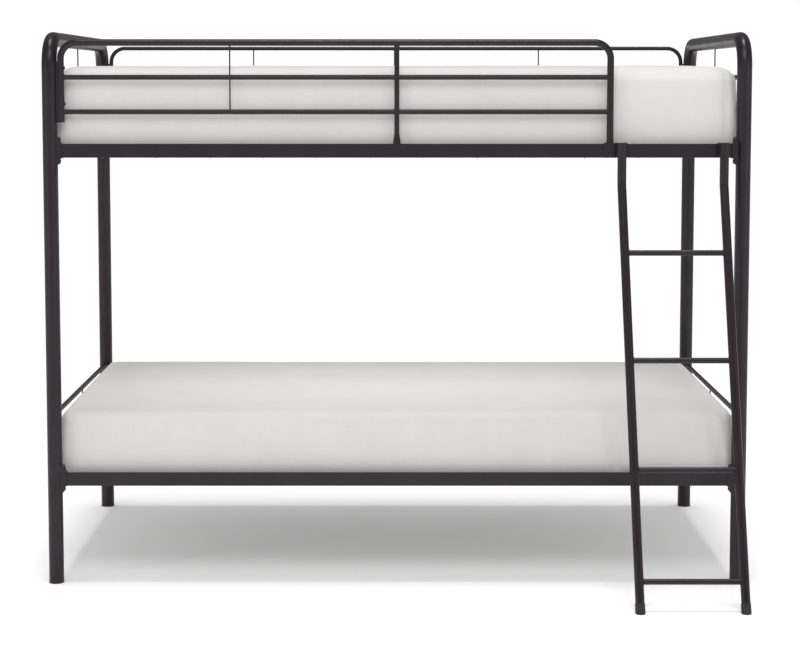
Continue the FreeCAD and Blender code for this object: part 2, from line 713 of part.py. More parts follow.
def ladder_hook(top_x):
    """Strap round the top of a ladder rail, with two legs notched to hang over the side rail."""
    centre_y = FRONT_Y - LADDER_STANDOFF
    strap_r = LADDER_D / 2 + HOOK_WALL
    top = LADDER_TOP_Z + PLUG_HEAD
    rail_top = RAIL_BOTTOM_Z["upper"] + RAIL_HEIGHT
    rail_front = outwards("front", RAIL_FACE + HOOK_PLAY)
    rail_back = outwards("front", RAIL_FACE - RAIL_WALL - HOOK_PLAY)
    finger_back = rail_back + HOOK_FINGER
    x_range = (top_x - strap_r, top_x + strap_r)
    bottom_centre, top_centre = Vector(top_x, centre_y, HOOK_BOTTOM_Z), Vector(top_x, centre_y, top)
    blank = rod(2 * strap_r, bottom_centre, top_centre)
    blank = blank.fuse(box(x_range, (centre_y, finger_back), (HOOK_BOTTOM_Z, top)))
    inner_x = (top_x - LADDER_D / 2, top_x + LADDER_D / 2)
    cutters = [
        rod(LADDER_D, bottom_centre - Z_AXIS, top_centre + Z_AXIS),
        box(inner_x, (centre_y, finger_back + 1), (HOOK_BOTTOM_Z - 1, top + 1)),
        box(x_range, (rail_front, rail_back), (HOOK_BOTTOM_Z - 1, rail_top)),
        box(x_range, (rail_front, finger_back + 1), (HOOK_BOTTOM_Z - 1, HOOK_FINGER_Z)),
        rail_hole("front", top_x, HOOK_BOLT_Z, M6_HOLE),
    ]
    return blank.cut(cutters)


def build_ladder():
    bolts, nuts = [], []
    for name, x in zip(ENDS, ladder_tops()):
        save(f"ladder_{name}_rail", [ladder_rail(x)])
        save(f"ladder_{name}_top_tube", [ladder_top_tube(x)])
        save(f"ladder_{name}_hook", [ladder_hook(x)])
        bolt, lock_nut = rail_bolt_and_nut(x, HOOK_BOLT_Z, LADDER_STANDOFF + LADDER_D / 2 + HOOK_WALL)
        bolts.append(bolt)
        nuts.append(lock_nut)
    for index in range(RUNG_COUNT):
        save(f"ladder_rung_{index + 1}", [rung(index)])
    save("ladder_couplers", [ladder_coupler(x) for x in ladder_tops()])
    save("ladder_top_plugs", [ladder_top_plug(x) for x in ladder_tops()])
    save("ladder_foot_caps", [ladder_foot(x) for x in ladder_tops()])
    save("ladder_bolts", bolts)
    save("ladder_nuts", nuts)


# ---------------------------------------------------------------- mattresses
def mattress(level):
    low = RAIL_BOTTOM_Z[level] + RAIL_WALL + SLAT_HEIGHT + MATTRESS_GAP
    block = box(
        (-MATTRESS_LENGTH / 2, MATTRESS_LENGTH / 2),
        (MIDDLE_Y - MATTRESS_WIDTH / 2, MIDDLE_Y + MATTRESS_WIDTH / 2),
        (low, low + MATTRESS_THICKNESS[level]),
    )
    return block.makeFillet(MATTRESS_ROUNDING, block.Edges)


def build_mattresses():
    for level in RAIL_BOTTOM_Z:
        save(f"{level}_mattress", [mattress(level)])


os.makedirs("parts", exist_ok=True)
build_end_frames()
build_side_rails()
build_guards()
build_ladder()
build_mattresses()
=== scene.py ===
import math

import bmesh
import bpy
import numpy as np
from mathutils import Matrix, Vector, noise


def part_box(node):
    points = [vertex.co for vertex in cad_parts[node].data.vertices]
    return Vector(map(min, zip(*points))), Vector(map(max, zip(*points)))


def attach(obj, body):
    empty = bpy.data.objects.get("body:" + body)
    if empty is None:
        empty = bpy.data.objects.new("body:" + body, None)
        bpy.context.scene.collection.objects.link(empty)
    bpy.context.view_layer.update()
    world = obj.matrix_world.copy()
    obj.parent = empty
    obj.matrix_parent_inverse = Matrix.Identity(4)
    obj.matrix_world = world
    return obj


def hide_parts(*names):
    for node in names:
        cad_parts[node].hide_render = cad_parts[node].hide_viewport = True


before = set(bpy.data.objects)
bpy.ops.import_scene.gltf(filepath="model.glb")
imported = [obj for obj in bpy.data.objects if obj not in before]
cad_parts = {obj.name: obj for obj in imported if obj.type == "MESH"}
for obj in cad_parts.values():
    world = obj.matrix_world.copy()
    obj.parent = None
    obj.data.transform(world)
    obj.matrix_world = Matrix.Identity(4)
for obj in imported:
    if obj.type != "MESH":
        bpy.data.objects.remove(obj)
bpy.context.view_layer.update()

MM = 0.001
X, Y, Z = range(3)
X_AXIS, Y_AXIS, Z_AXIS = Vector((1, 0, 0)), Vector((0, 1, 0)), Vector((0, 0, 1))
ENDS = ("left", "right")
SIDES = ("front", "back")


def box_of(points):
    return Vector(points.min(0)), Vector(points.max(0))


def middle_of(box):
    return (box[0] + box[1]) / 2


def half_size(node, axis):
    """Half of a node's size along an axis, which for a straight tube is its radius."""
    low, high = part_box(node)
    return (high[axis] - low[axis]) / 2


def ladder_direction():
    """Direction of the ladder's slanted part, from the centres of its lowest and highest rungs."""
    first, last = middle_of(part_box("ladder_rung_1")), middle_of(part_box("ladder_rung_4"))
    return (last - first).normalized()


POST_R = half_size("front_left_post", X)
BAR_R = half_size("left_lower_end_bars", X)
WIRE_R = half_size("front_guard_spindles", X)
FRONT_GUARD_R = half_size("front_guard_hoop", Y)
BACK_GUARD_R = half_size("back_guard_hoop", Y)
LADDER_R = half_size("ladder_left_top_tube", X)
RUNG_R = half_size("ladder_rung_1", Z)
FRONT_Y = sum(corner.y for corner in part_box("front_left_post")) / 2
LADDER_AXIS = ladder_direction()


# ---------------------------------------------------------------- camera and stage
# The photograph is level and cropped low. A small pitch takes the place of most of that shift.
SENSOR = 36.0       # width, and the lens, in millimetres
LENS = 88.012
EYE = Vector((-0.0160, FRONT_Y - 5.4767, 1.4233))
SHIFT_X = 0.01107
SHIFT_Y = -0.09
PITCH = math.radians(5.002)
CLIP = (0.1, 300.0)

# Brightness of the room to the cloth, in reflections, and to the camera.
AMBIENT, REFLECTED, PAPER = 0.62, 0.27, 1.05

# The lights: strength of the sun, watts of the others, and sizes and places in metres.
SUN_STRENGTH, SUN_SPREAD, SUN_PLACE = 1.42, 12, (0.0, 0.16, 6.0)
KEY_WATTS, KEY_SIZE, KEY_PLACE, KEY_TARGET = 108, (3.0, 2.4), (0.0, -4.0, 4.9), (0.0, -0.2, 0.8)
STRIP_WATTS, STRIP_SIZE, STRIP_PLACE, STRIP_TARGET = 20, (0.4, 3.2), (4.6, -3.6, 1.8), (0.0, 0.0, 0.9)
BUNK_WATTS, BUNK_SIZE, BUNK_GAP = 5.4, (1.75, 0.82), 0.04

STAGE_HALF = 150.0
STAGE_DROP = 0.0002         # keeps the floor just clear of the feet


def make_camera():
    data = bpy.data.cameras.new("camera")
    data.sensor_width = SENSOR
    data.lens = LENS
    data.shift_x, data.shift_y = SHIFT_X, SHIFT_Y
    data.clip_start, data.clip_end = CLIP
    camera = bpy.data.objects.new("camera", data)
    camera.location = EYE
    camera.rotation_euler = (math.pi / 2 - PITCH, 0, 0)
    bpy.context.scene.collection.objects.link(camera)
    bpy.context.scene.camera = camera


def add_light(name, kind, power, place, target):
    data = bpy.data.lights.new(name, kind)
    data.energy = power
    light = bpy.data.objects.new(name, data)
    light.location = place
    light.rotation_euler = (Vector(target) - Vector(place)).to_track_quat("-Z", "Y").to_euler()
    light.visible_camera = False
    bpy.context.scene.collection.objects.link(light)
    return data


def area_light(name, size, watts, place, target):
    data = add_light(name, "AREA", watts, place, target)
    data.shape = "RECTANGLE"
    data.size, data.size_y = size


def sun_light(name, strength, spread, place, target):
    data = add_light(name, "SUN", strength, place, target)
    data.angle = math.radians(spread)


def make_world():
    """White paper to the camera, soft light to the cloth, a dimmer room in the reflections."""
    world = bpy.data.worlds.new("studio")
    world.use_nodes = True
    tree = world.node_tree
    tree.nodes.clear()
    path = tree.nodes.new("ShaderNodeLightPath")
    shader = None
    for strength, ray in ((AMBIENT, None), (REFLECTED, "Is Glossy Ray"), (PAPER, "Is Camera Ray")):
        layer = tree.nodes.new("ShaderNodeBackground")
        layer.inputs["Strength"].default_value = strength
        layer.inputs["Color"].default_value = (1.0, 1.0, 1.0, 1)
        if shader is None:
            shader = layer.outputs[0]
            continue
        mix = tree.nodes.new("ShaderNodeMixShader")
        tree.links.new(path.outputs[ray], mix.inputs["Fac"])
        tree.links.new(shader, mix.inputs[1])
        tree.links.new(layer.outputs[0], mix.inputs[2])
        shader = mix.outputs[0]
    out = tree.nodes.new("ShaderNodeOutputWorld")
    tree.links.new(shader, out.inputs["Surface"])
    bpy.context.scene.world = world


def make_lights():
    """A sun from above for the shadow, a broad key from the front, and strips that the tubes reflect."""
    sun_light("overhead", SUN_STRENGTH, SUN_SPREAD, SUN_PLACE, (SUN_PLACE[X], SUN_PLACE[Y], 0.0))
    area_light("key", KEY_SIZE, KEY_WATTS, KEY_PLACE, KEY_TARGET)
    for end, sign in zip(ENDS, (-1, 1)):
        place = (STRIP_PLACE[X] * sign, STRIP_PLACE[Y], STRIP_PLACE[Z])
        area_light(f"strip_{end}", STRIP_SIZE, STRIP_WATTS, place, STRIP_TARGET)
    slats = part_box("upper_slats")
    middle_y = middle_of(slats).y
    below = (0.0, middle_y, slats[0].z - BUNK_GAP)
    area_light("under_bunk", BUNK_SIZE, BUNK_WATTS, below, (0.0, middle_y, 0.0))


def make_stage(material):
    mesh = bpy.data.meshes.new("floor")
    corners = [(STAGE_HALF * x, STAGE_HALF * y, -STAGE_DROP) for x, y in ((-1, -1), (1, -1), (1, 1), (-1, 1))]
    mesh.from_pydata(corners, [], [(0, 1, 2, 3)])
    mesh.materials.append(material)
    floor = bpy.data.objects.new("floor", mesh)
    bpy.context.scene.collection.objects.link(floor)


# ---------------------------------------------------------------- materials
def node_material(name):
    material = bpy.data.materials.new(name)
    material.use_nodes = True
    return material, material.node_tree, material.node_tree.nodes["Principled BSDF"]


def place_of(tree):
    """Coordinates in metres, which stay with the piece."""
    return tree.nodes.new("ShaderNodeTexCoord").outputs["Object"]


def noise_at(tree, coords, scale, detail=2.0, rough=0.5, distortion=0.0):
    """Noise with a scale per metre."""
    node = tree.nodes.new("ShaderNodeTexNoise")
    node.inputs["Scale"].default_value = scale
    node.inputs["Detail"].default_value = detail
    node.inputs["Roughness"].default_value = rough
    node.inputs["Distortion"].default_value = distortion
    tree.links.new(coords, node.inputs["Vector"])
    return node.outputs["Fac"]


def ramp(tree, fac, stops):
    node = tree.nodes.new("ShaderNodeValToRGB")
    elements = node.color_ramp.elements
    while len(elements) < len(stops):
        elements.new(0.5)
    for element, (position, colour) in zip(elements, stops):
        element.position = position
        element.color = (*colour, 1)
    tree.links.new(fac, node.inputs["Fac"])
    return node.outputs["Color"]


def remap(tree, value, low, high, from_low=0.3, from_high=0.7):
    node = tree.nodes.new("ShaderNodeMapRange")
    node.inputs["From Min"].default_value = from_low
    node.inputs["From Max"].default_value = from_high
    node.inputs["To Min"].default_value = low
    node.inputs["To Max"].default_value = high
    tree.links.new(value, node.inputs["Value"])
    return node.outputs["Result"]


def bump(tree, height, strength, distance, normal=None):
    """Relief from a height, over another bump's normal if one is given."""
    node = tree.nodes.new("ShaderNodeBump")
    node.inputs["Strength"].default_value = strength
    node.inputs["Distance"].default_value = distance
    tree.links.new(height, node.inputs["Height"])
    if normal is not None:
        tree.links.new(normal, node.inputs["Normal"])
    return node.outputs["Normal"]


def maths(tree, operation, a, b):
    node = tree.nodes.new("ShaderNodeMath")
    node.operation = operation
    for socket, value in zip(node.inputs, (a, b)):
        if isinstance(value, (int, float)):
            socket.default_value = value
        else:
            tree.links.new(value, socket)
    return node.outputs[0]


def weighted(tree, first, second):
    """Sum of two values, each given with its weight."""
    return maths(tree, "ADD", maths(tree, "MULTIPLY", *first), maths(tree, "MULTIPLY", *second))


def scaled(tree, coords, scale):
    node = tree.nodes.new("ShaderNodeMapping")
    node.inputs["Scale"].default_value = scale
    tree.links.new(coords, node.inputs["Vector"])
    return node.outputs["Vector"]


def coated_metal(name, dark, light, rough_low, rough_high, peel):
    """Satin powder coat: orange peel, a fine grain of flakes, slow drift of tone and gloss."""
    material, tree, shader = node_material(name)
    coords = place_of(tree)
    drift = noise_at(tree, coords, 9.0, 3.0)
    grain = noise_at(tree, coords, 900.0, 2.0, 0.7)
    tone = weighted(tree, (drift, 0.6), (grain, 0.4))
    colour = ramp(tree, tone, [(0.34, dark), (0.66, light)])
    tree.links.new(colour, shader.inputs["Base Color"])
    gloss = noise_at(tree, coords, 34.0, 4.0, 0.6)
    tree.links.new(remap(tree, gloss, rough_low, rough_high), shader.inputs["Roughness"])
    waves = noise_at(tree, coords, 330.0, 2.0)
    normal = bump(tree, waves, peel, 0.6 * MM)
    normal = bump(tree, grain, peel * 0.5, 0.2 * MM, normal)
    tree.links.new(normal, shader.inputs["Normal"])
    shader.inputs["Metallic"].default_value = 0.0
    shader.inputs["Specular IOR Level"].default_value = 0.34
    return material


def moulded_plastic(name):
    """Dull black plastic with a fine spark-eroded grain and rubbed patches."""
    material, tree, shader = node_material(name)
    coords = place_of(tree)
    grain = noise_at(tree, coords, 1300.0, 2.0, 0.8)
    wear = noise_at(tree, coords, 60.0, 4.0, 0.7)
    colour = ramp(tree, wear, [(0.4, (0.010, 0.010, 0.011)), (0.75, (0.024, 0.023, 0.023))])
    tree.links.new(colour, shader.inputs["Base Color"])
    tree.links.new(remap(tree, wear, 0.52, 0.7), shader.inputs["Roughness"])
    tree.links.new(bump(tree, grain, 0.35, 0.3 * MM), shader.inputs["Normal"])
    return material


WAVE_UNIT = 20          # the wave texture's phase at scale 1 and one metre, in radians
THREAD_PITCH = 1.6 * MM


def wave(tree, coords, axis, pitch, distortion):
    """Ribs across one axis, with a pitch in metres."""
    node = tree.nodes.new("ShaderNodeTexWave")
    node.wave_type = "BANDS"
    node.bands_direction = axis
    node.inputs["Scale"].default_value = 2 * math.pi / (WAVE_UNIT * pitch)
    node.inputs["Distortion"].default_value = distortion
    node.inputs["Detail"].default_value = 1.0
    node.inputs["Detail Scale"].default_value = 1.5
    tree.links.new(coords, node.inputs["Vector"])
    return node.outputs["Fac"]


def woven_cover(name):
    """White woven cotton: threads across every face, slubs, soft mottling, a little sheen."""
    material, tree, shader = node_material(name)
    coords = place_of(tree)
    threads = [wave(tree, coords, axis, THREAD_PITCH, 0.6) for axis in "XYZ"]
    weave = maths(tree, "ADD", maths(tree, "ADD", threads[0], threads[1]), threads[2])
    slubs_along = noise_at(tree, scaled(tree, coords, (6, 90, 90)), 4.0, 3.0, 0.6)
    slubs_across = noise_at(tree, scaled(tree, coords, (90, 60, 6)), 4.0, 3.0, 0.6)
    slubs = maths(tree, "ADD", slubs_along, slubs_across)
    mottling = noise_at(tree, coords, 7.0, 4.0, 0.6)
    tone = weighted(tree, (slubs, 0.25), (mottling, 0.5))
    colour = ramp(tree, tone, [(0.35, (0.594, 0.586, 0.576)), (0.65, (0.632, 0.628, 0.621))])
    tree.links.new(colour, shader.inputs["Base Color"])
    tree.links.new(remap(tree, slubs, 0.82, 0.95, 0.6, 1.4), shader.inputs["Roughness"])
    creases = noise_at(tree, scaled(tree, coords, (1.0, 1.0, 0.12)), 55.0, 3.0, 0.6, 0.4)
    normal = bump(tree, weave, 0.10, 0.4 * MM)
    normal = bump(tree, slubs, 0.10, 1.2 * MM, normal)
    normal = bump(tree, creases, 0.16, 4.0 * MM, normal)
    tree.links.new(normal, shader.inputs["Normal"])
    shader.inputs["Sheen Weight"].default_value = 0.12
    shader.inputs["Sheen Roughness"].default_value = 0.5
    shader.inputs["Specular IOR Level"].default_value = 0.25
    return material


def pale_floor(name):
    """Matt pale paper with a faint glow, so that it stays white around the shadow."""
    material, tree, shader = node_material(name)
    coords = place_of(tree)
    mottling = noise_at(tree, coords, 1.5, 3.0)
    colour = ramp(tree, mottling, [(0.3, (0.835, 0.835, 0.835)), (0.7, (0.85, 0.85, 0.85))])
    tree.links.new(colour, shader.inputs["Base Color"])
    shader.inputs["Roughness"].default_value = 0.9
    shader.inputs["Specular IOR Level"].default_value = 0.0
    shader.inputs["Emission Color"].default_value = (1.0, 1.0, 1.0, 1)
    shader.inputs["Emission Strength"].default_value = 0.12
    return material


MATERIALS = {
    "powder_coat": coated_metal(
        "powder_coat_look", (0.0105, 0.0056, 0.0085), (0.0180, 0.0108, 0.0150), 0.29, 0.38, 0.04),
    "fasteners": coated_metal(
        "fasteners_look", (0.013, 0.0095, 0.0115), (0.022, 0.0170, 0.0200), 0.28, 0.40, 0.06),
    "black_plastic": moulded_plastic("black_plastic_look"),
    "mattress_cover": woven_cover("mattress_cover_look"),
}


def paint_frame():
    """Every CAD node keeps its slot and gets that slot's procedural material."""
    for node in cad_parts.values():
        for index, old in enumerate(node.data.materials):
            node.data.materials[index] = MATERIALS[old.name.split(".")[0]]


# ---------------------------------------------------------------- new pieces
def add_piece(name, bm, slot):
    """A new piece of the frame, with a slot's finish. It uses up the mesh it is given."""
    mesh = bpy.data.meshes.new(name)
    bm.to_mesh(mesh)
    bm.free()
    mesh.materials.append(MATERIALS[slot])
    mesh.shade_smooth()
    piece = bpy.data.objects.new(name, mesh)
    bpy.context.scene.collection.objects.link(piece)
    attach(piece, "frame")
    return piece


def solids_of(node):
    """The separate solids of a CAD node, as arrays of their corner points."""
    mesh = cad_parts[node].data
    points = np.array([v.co for v in mesh.vertices], float)
    keys = {}
    same = [keys.setdefault(tuple(key), i) for i, key in enumerate(np.round(points * 1e6).astype(int))]
    parent = list(range(len(points)))

    def root(i):
        while parent[i] != i:
            parent[i] = parent[parent[i]]
            i = parent[i]
        return i

    for polygon in mesh.polygons:
        first = root(same[polygon.vertices[0]])
        for index in polygon.vertices[1:]:
            parent[root(same[index])] = first
    groups = {}
    for i, shared in enumerate(same):
        groups.setdefault(root(shared), []).append(i)
    found = [points[members] for members in groups.values()]
    return sorted(found, key=lambda p: tuple(np.round(p.mean(0), 4)))


def sweep(bm, points, radii, closed, sides=6):
    """A round bead along points, with a radius for each."""
    count = len(points)
    rings = []
    before = points[-1] if closed else points[0] * 2 - points[1]
    normal = None
    for i, point in enumerate(points):
        after = points[(i + 1) % count] if closed or i + 1 < count else point * 2 - before
        along = (after - before).normalized()
        if normal is None:
            normal = along.orthogonal().normalized()
        normal = (normal - along * normal.dot(along)).normalized()
        binormal = along.cross(normal)
        ring = []
        for k in range(sides):
            turn = 2 * math.pi * k / sides
            offset = normal * math.cos(turn) + binormal * math.sin(turn)
            ring.append(bm.verts.new(point + offset * radii[i]))
        rings.append(ring)
        before = point
    pairs = list(zip(rings, rings[1:])) + ([(rings[-1], rings[0])] if closed else [])
    for i, (a, b) in enumerate(pairs):
        twist = 0
        if closed and i == len(pairs) - 1:
            twist = min(range(sides), key=lambda k: (a[0].co - b[k].co).length)
        for k in range(sides):
            j = (k + 1) % sides
            bm.faces.new((a[k], a[j], b[(j + twist) % sides], b[(k + twist) % sides]))
    if not closed:
        bm.faces.new(rings[0][::-1])
        bm.faces.new(rings[-1])


BAR_BEAD, RUNG_BEAD, FRAME_BEAD, WIRE_BEAD = 1.5 * MM, 1.5 * MM, 1.7 * MM, 0.9 * MM
WELD_POINTS = 30
RIPPLE = 0.16           # of a weld bead's radius
RIPPLE_PITCH = 1.3 * MM


def bead_radii(count, radius, ripple=RIPPLE, step=3):
    return [radius * (1 + ripple * math.sin(2 * math.pi * i / step)) for i in range(count)]


def tube_weld(bm, meet, along, bar_r, mate_axis, mate_r, bead):
    """Bead where a round bar touches its mate. The bar leaves the point meet, on its mate's axis."""
    along, mate_axis = along.normalized(), mate_axis.normalized()
    w = (mate_axis - along * mate_axis.dot(along)).normalized()
    u = along.cross(w)
    points = []
    for i in range(WELD_POINTS):
        turn = 2 * math.pi * i / WELD_POINTS
        offset = (u * math.cos(turn) + w * math.sin(turn)) * bar_r
        flat_d = along - mate_axis * along.dot(mate_axis)
        flat_o = offset - mate_axis * offset.dot(mate_axis)
        a, b, c = flat_d.dot(flat_d), 2 * flat_d.dot(flat_o), flat_o.dot(flat_o) - mate_r * mate_r
        step = (-b + math.sqrt(max(b * b - 4 * a * c, 0))) / (2 * a)
        points.append(meet + offset + along * step)
    sweep(bm, points, bead_radii(WELD_POINTS, bead), True)


def line_weld(bm, start, end, bead):
    """A straight bead that tapers at both ends."""
    count = max(4, int((end - start).length / RIPPLE_PITCH))
    points = [start.lerp(end, i / (count - 1)) for i in range(count)]
    radii = bead_radii(count, bead)
    radii[0] = radii[-1] = bead * 0.4
    sweep(bm, points, radii, False)


def circle_bead(bm, centre, axis, radius, bead, count, ripple=0.0):
    """A bead round a tube, with its number of points."""
    side = axis.orthogonal().normalized()
    other = axis.cross(side).normalized()
    points = []
    for i in range(count):
        turn = 2 * math.pi * i / count
        points.append(centre + (side * math.cos(turn) + other * math.sin(turn)) * radius)
    sweep(bm, points, bead_radii(count, bead, ripple), True)


def post_centre(name):
    centre = middle_of(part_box(name))
    return Vector((centre.x, centre.y, 0))


def end_frame_welds():
    bm = bmesh.new()
    for end in ENDS:
        posts = [post_centre(f"{side}_{end}_post") for side in SIDES]
        for node in (f"{end}_upper_end_bars", f"{end}_lower_end_bars"):
            for solid in solids_of(node):
                z = middle_of(box_of(solid)).z
                for post, along in zip(posts, (Y_AXIS, -Y_AXIS)):
                    tube_weld(bm, Vector((post.x, post.y, z)), along, BAR_R, Z_AXIS, POST_R, FRAME_BEAD)
    hoop_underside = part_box("left_upper_hoop")[1].z - 2 * POST_R
    for node in ("upper_end_spindles", "lower_end_spindles"):
        for solid in solids_of(node):
            low, high = box_of(solid)
            centre = middle_of((low, high))
            mate_r = POST_R if high.z > hoop_underside - 5 * MM else BAR_R
            mate_z = hoop_underside + POST_R if mate_r == POST_R else high.z + BAR_R
            bottom = Vector((centre.x, centre.y, low.z - BAR_R))
            top = Vector((centre.x, centre.y, mate_z))
            tube_weld(bm, bottom, Z_AXIS, WIRE_R, Y_AXIS, BAR_R, WIRE_BEAD)
            tube_weld(bm, top, -Z_AXIS, WIRE_R, Y_AXIS, mate_r, WIRE_BEAD)
    add_piece("end_frame_welds", bm, "powder_coat")


STRIP_WELD_INSET, STRIP_WELD_LENGTH, STRIP_BEAD = 6 * MM, 28 * MM, 1.1 * MM


def spacer_welds(bm, side, leg_r, legs, y):
    """Short beads at the bottom and top of the strips beside a guard's legs, on both faces."""
    for solid in solids_of(f"{side}_guard_spacers"):
        low, high = box_of(solid)
        sign = 1 if middle_of((low, high)).x < 0 else -1
        leg_x = legs[0] if sign > 0 else legs[1]
        for face_y in (low.y, high.y):
            seam_x = leg_x - sign * math.sqrt(max(leg_r * leg_r - (face_y - y) ** 2, 0))
            near, far = STRIP_WELD_INSET, STRIP_WELD_INSET + STRIP_WELD_LENGTH
            for start, end in ((low.z + near, low.z + far), (high.z - far, high.z - near)):
                line_weld(bm, Vector((seam_x, face_y, start)), Vector((seam_x, face_y, end)), STRIP_BEAD)


def guard_welds():
    bm = bmesh.new()
    for side, leg_r in (("front", FRONT_GUARD_R), ("back", BACK_GUARD_R)):
        low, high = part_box(f"{side}_guard_hoop")
        y = (low.y + high.y) / 2
        legs = (low.x + leg_r, high.x - leg_r)
        top_z = high.z - leg_r
        for solid in solids_of(f"{side}_guard_bars"):
            centre = middle_of(box_of(solid))
            leg_x, out = (legs[0], X_AXIS) if centre.x < 0 else (legs[1], -X_AXIS)
            tube_weld(bm, Vector((leg_x, y, centre.z)), out, BAR_R, Z_AXIS, leg_r, BAR_BEAD)
            tube_weld(bm, Vector((0, y, centre.z)), -out, BAR_R, Z_AXIS, BAR_R, BAR_BEAD)
        tube_weld(bm, Vector((0, y, top_z)), -Z_AXIS, BAR_R, X_AXIS, leg_r, BAR_BEAD)
        for solid in solids_of(f"{side}_guard_spindles"):
            bottom, top = box_of(solid)
            x = (bottom.x + top.x) / 2
            under_top = top.z > top_z - 2 * leg_r
            mate_r, mate_z = (leg_r, top_z) if under_top else (BAR_R, top.z + BAR_R)
            tube_weld(bm, Vector((x, y, bottom.z - BAR_R)), Z_AXIS, WIRE_R, X_AXIS, BAR_R, WIRE_BEAD)
            tube_weld(bm, Vector((x, y, mate_z)), -Z_AXIS, WIRE_R, X_AXIS, mate_r, WIRE_BEAD)
        spacer_welds(bm, side, leg_r, legs, y)
    low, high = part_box("front_guard_hoop")
    foot = Vector((high.x - FRONT_GUARD_R, (low.y + high.y) / 2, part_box("front_guard_pad")[1].z))
    circle_bead(bm, foot, Z_AXIS, FRONT_GUARD_R, BAR_BEAD, 36, RIPPLE)
    add_piece("guard_welds", bm, "powder_coat")


LEDGE_WELD = (2 * MM, 23 * MM)      # start and end of the bead under a rail's ledge, from its outer face


def rail_welds():
    """Beads at both ends of the side rails, up the outer face and along the underside."""
    bm = bmesh.new()
    for level in ("upper", "lower"):
        for side, sign in zip(SIDES, (-1, 1)):
            low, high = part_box(f"{level}_{side}_rail")
            outer = low.y if sign < 0 else high.y
            for x in (low.x, high.x):
                bottom, top = Vector((x, outer, low.z + 1.5 * MM)), Vector((x, outer, high.z - 0.5 * MM))
                line_weld(bm, bottom, top, FRAME_BEAD)
                start, end = (Vector((x, outer - sign * inset, low.z)) for inset in LEDGE_WELD)
                line_weld(bm, start, end, BAR_BEAD)
    add_piece("rail_welds", bm, "powder_coat")


def rung_welds():
    bm = bmesh.new()
    for index in (1, 2, 3, 4):
        low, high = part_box(f"ladder_rung_{index}")
        centre = middle_of((low, high))
        for x, along in ((low.x, X_AXIS), (high.x, -X_AXIS)):
            meet = Vector((x, centre.y, centre.z)) - along * math.sqrt(LADDER_R ** 2 - RUNG_R ** 2)
            tube_weld(bm, meet, along, RUNG_R, LADDER_AXIS, LADDER_R, RUNG_BEAD)
    add_piece("ladder_welds", bm, "powder_coat")


POST_SEAM_BEAD, LADDER_SEAM_BEAD = 0.75 * MM, 0.6 * MM


def seam_rings():
    """Fine raised lines where one tube stands on the next."""
    bm = bmesh.new()
    for side in SIDES:
        for end in ENDS:
            low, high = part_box(f"{side}_{end}_post")
            centre = middle_of((low, high))
            seam = Vector((centre.x, centre.y, high.z))
            circle_bead(bm, seam, Z_AXIS, POST_R - POST_SEAM_BEAD / 3, POST_SEAM_BEAD, 64)
    for end in ENDS:
        low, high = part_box(f"ladder_{end}_top_tube")
        centre = middle_of((low, high))
        seam = Vector((centre.x, centre.y, low.z))
        circle_bead(bm, seam, Z_AXIS, LADDER_R - LADDER_SEAM_BEAD / 3, LADDER_SEAM_BEAD, 48)
    add_piece("tube_seams", bm, "powder_coat")


# ---------------------------------------------------------------- bolts and rivets
def lathe(bm, base, axis, profile, segments):
    """Surface of revolution through (radius, height) pairs; a radius of 0 closes it."""
    side = axis.orthogonal().normalized()
    other = axis.cross(side).normalized()
    rings = []
    for radius, height in profile:
        centre = base + axis * height
        if radius == 0:
            rings.append([bm.verts.new(centre)])
            continue
        ring = []
        for i in range(segments):
            turn = 2 * math.pi * i / segments
            ring.append(bm.verts.new(centre + (side * math.cos(turn) + other * math.sin(turn)) * radius))
        rings.append(ring)
    for a, b in zip(rings, rings[1:]):
        for i in range(segments):
            j = (i + 1) % segments
            corners = [a[i % len(a)], a[j % len(a)], b[j % len(b)], b[i % len(b)]]
            unique = list(dict.fromkeys(corners))
            if len(unique) > 2:
                bm.faces.new(unique)


HEAD_SIDES = 36             # a multiple of 6, so that the socket's corners are points of the ring
HEAD_RIM = 0.12             # height of a bolt head's straight rim, as a share of the head
SOCKET_R = 0.42             # corner radius of its socket, as a share of the head's radius
SOCKET_TOP, SOCKET_DEPTH = 0.93, 0.55


def socket_head(bm, base, axis, radius, height, shank_r, shank_length):
    """Domed head with a hexagonal socket, and its shank behind it."""
    hexagon_r = radius * SOCKET_R
    dome = []
    for degrees in range(0, 91, 15):
        turn = math.radians(degrees)
        if math.cos(turn) * radius > hexagon_r * 1.15:
            dome.append((radius * math.cos(turn), height * (HEAD_RIM + (1 - HEAD_RIM) * math.sin(turn))))
    profile = [(0, -shank_length), (shank_r, -shank_length), (shank_r, 0), (radius, 0)] + dome
    lathe(bm, base, axis, profile, HEAD_SIDES)
    side = axis.orthogonal().normalized()
    other = axis.cross(side).normalized()
    top = height * (HEAD_RIM + (1 - HEAD_RIM) * SOCKET_TOP)
    bm.verts.ensure_lookup_table()
    outer = bm.verts[-HEAD_SIDES:]
    corners = []
    for i in range(HEAD_SIDES):
        turn = 2 * math.pi * i / HEAD_SIDES
        sector = (turn + math.pi / 6) % (math.pi / 3) - math.pi / 6
        reach = hexagon_r * math.cos(math.pi / 6) / math.cos(sector)
        corners.append((side * math.cos(turn) + other * math.sin(turn)) * reach)
    rim_ring = [bm.verts.new(base + axis * top + corner) for corner in corners]
    socket_floor = top - height * SOCKET_DEPTH
    floor_ring = [bm.verts.new(base + axis * socket_floor + corner) for corner in corners]
    for i in range(HEAD_SIDES):
        j = (i + 1) % HEAD_SIDES
        bm.faces.new((outer[i], outer[j], rim_ring[j], rim_ring[i]))
        bm.faces.new((rim_ring[i], rim_ring[j], floor_ring[j], floor_ring[i]))
    bm.faces.new(floor_ring)


SAME_PLACE = 1e-5           # in metres


